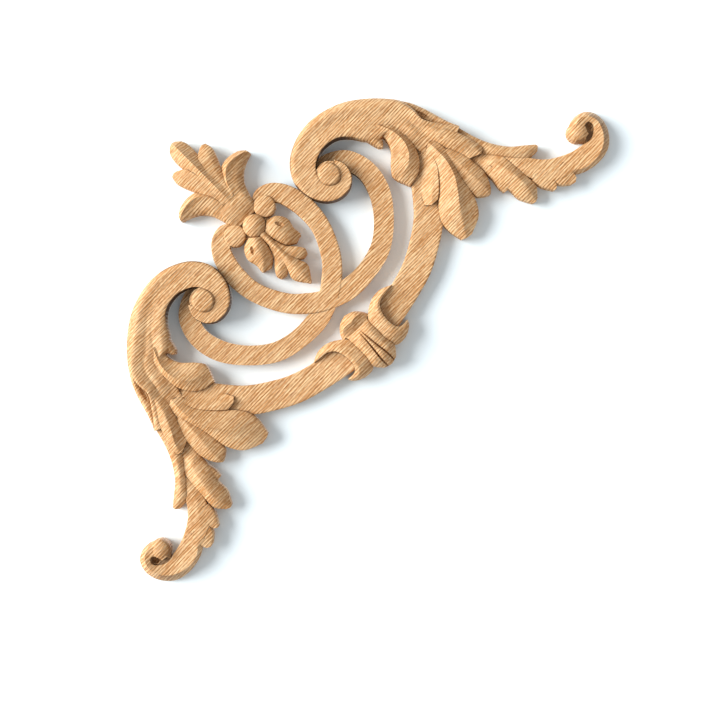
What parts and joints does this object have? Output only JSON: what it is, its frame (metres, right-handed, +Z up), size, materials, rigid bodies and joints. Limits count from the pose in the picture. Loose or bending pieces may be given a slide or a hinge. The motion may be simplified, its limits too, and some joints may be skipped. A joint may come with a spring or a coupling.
{
  "type": "carved wood applique",
  "caption": "Carved wood corner applique with mirrored scrolling acanthus arms, interlaced spiral rings, a palmette with a bud drop and a wrapped knot, on a flat back.",
  "frame": {"origin": "on the flat back, behind the knot where the diagonal of symmetry crosses the arc, at the middle of the part's width and height", "axes": "+Z up and +X to the right as it is seen on a wall, +Y out of the flat back into the wall; the carving faces -Y and the palmette points up and left"},
  "size_m": [0.2992, 0.0187, 0.2992],
  "materials": {
    "oak": "light oak, carved and fine sanded, unvarnished"
  },
  "bodies": {
    "root": {"applique": "oak"}
  },
  "joints": []
}
